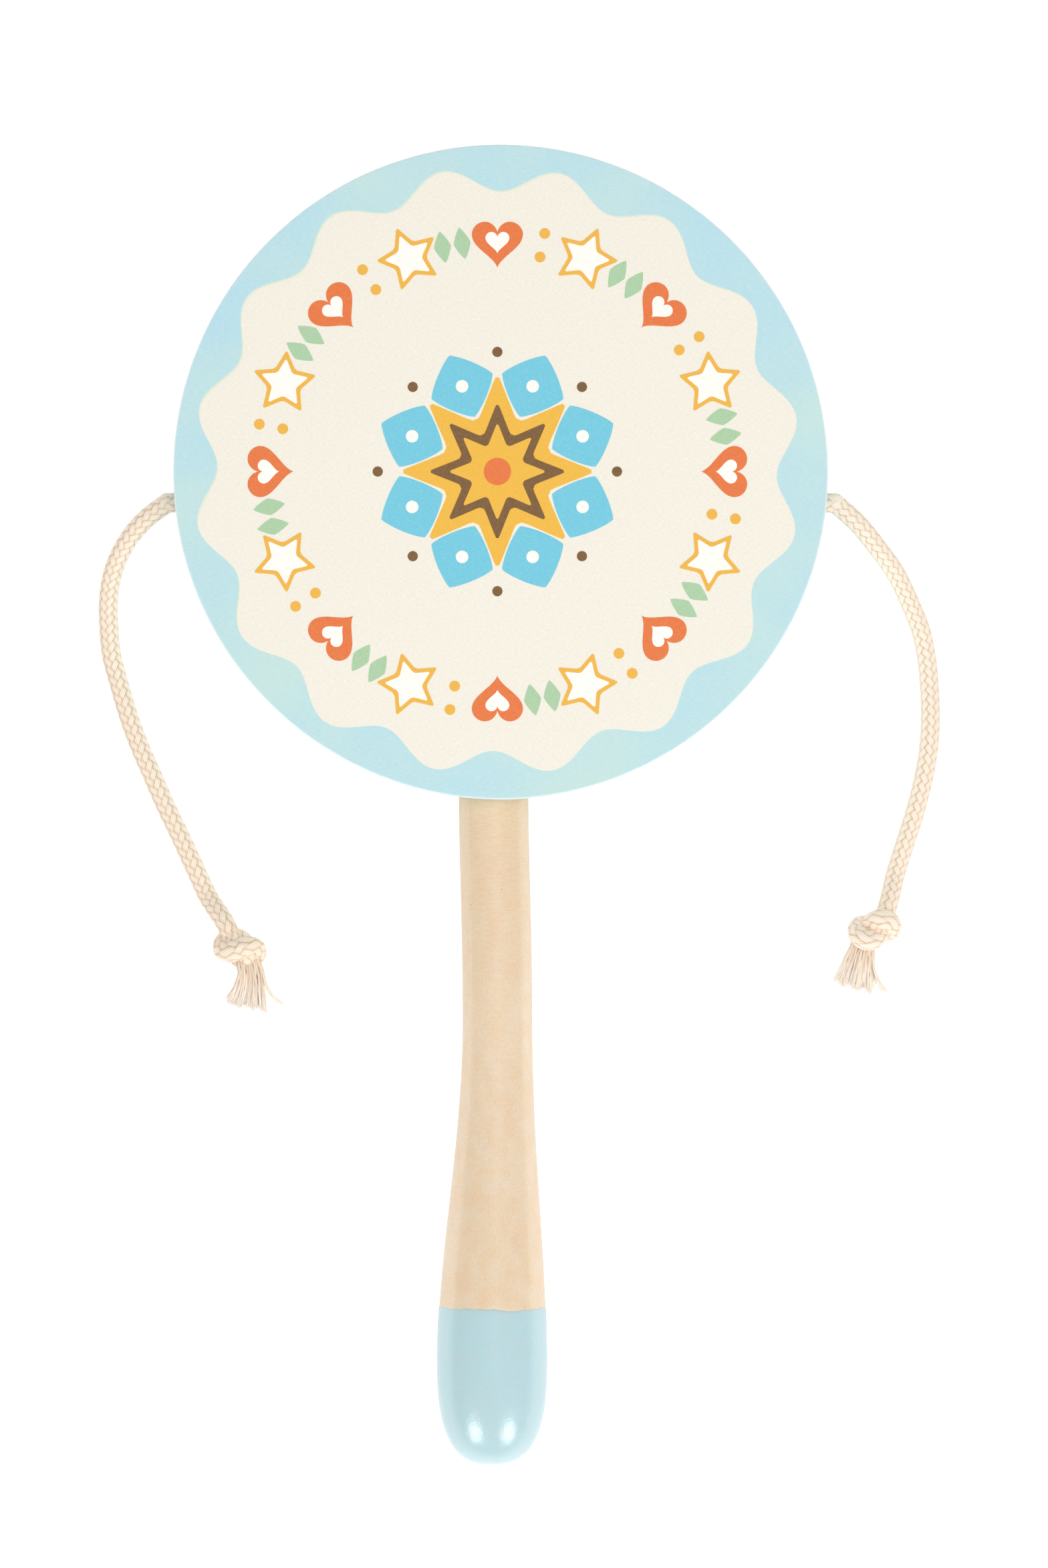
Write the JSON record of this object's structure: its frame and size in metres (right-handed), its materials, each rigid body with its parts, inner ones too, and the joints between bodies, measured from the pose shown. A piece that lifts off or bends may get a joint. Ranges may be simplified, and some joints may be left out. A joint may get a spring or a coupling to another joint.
{
  "type": "pellet drum rattle",
  "caption": "Hollow wooden drum on a turned handle, with knotted cotton cords at its sides that swing over and strike the head.",
  "frame": {"origin": "centre of the back head's outer face, which lies on the table", "axes": "+Z out of the front head, -Y along the handle to its tip, +X to the right as the front head is seen with the handle below"},
  "size_m": [0.1505, 0.233, 0.025],
  "materials": {
    "front_paint": "satin paint and print on plywood",
    "back_paint": "satin paint and print on plywood",
    "ring_paint": "satin paint on wood",
    "handle_wood": "clear satin varnish, gloss paint on the dipped end",
    "cotton_cord": "braided natural cotton",
    "cotton_fray": "frayed natural cotton"
  },
  "bodies": {
    "drum": {"front_head": "front_paint", "back_head": "back_paint", "drum_ring": "ring_paint", "handle": "handle_wood", "left_cord_neck": "cotton_cord", "left_stopper_knot": "cotton_cord", "right_cord_neck": "cotton_cord", "right_stopper_knot": "cotton_cord"},
    "left_root": {"left_cord_root": "cotton_cord"},
    "left_tail": {"left_cord_tail": "cotton_cord", "left_knot": "cotton_cord", "left_tassel": "cotton_fray"},
    "right_root": {"right_cord_root": "cotton_cord"},
    "right_tail": {"right_cord_tail": "cotton_cord", "right_knot": "cotton_cord", "right_tassel": "cotton_fray"}
  },
  "joints": [
    {"name": "left_cord_strike", "type": "hinge", "parent": "drum", "child": "left_root", "pos_m": [-0.05935, -0.0048, 0.0125], "axis": [-0.9781, 0.2079, 0], "range_deg": [0, 169.5]},
    {"name": "left_cord_bend", "type": "hinge", "parent": "left_root", "child": "left_tail", "pos_m": [-0.07035, -0.0218, 0.0048], "axis": [0, 0, 1], "range_deg": [-60, 22]},
    {"name": "right_cord_strike", "type": "hinge", "parent": "drum", "child": "right_root", "pos_m": [0.05935, -0.0048, 0.0125], "axis": [-0.9397, -0.342, 0], "range_deg": [0, 165.5]},
    {"name": "right_cord_bend", "type": "hinge", "parent": "right_root", "child": "right_tail", "pos_m": [0.07335, -0.0223, 0.0048], "axis": [0, 0, 1], "range_deg": [-44, 60]}
  ]
}
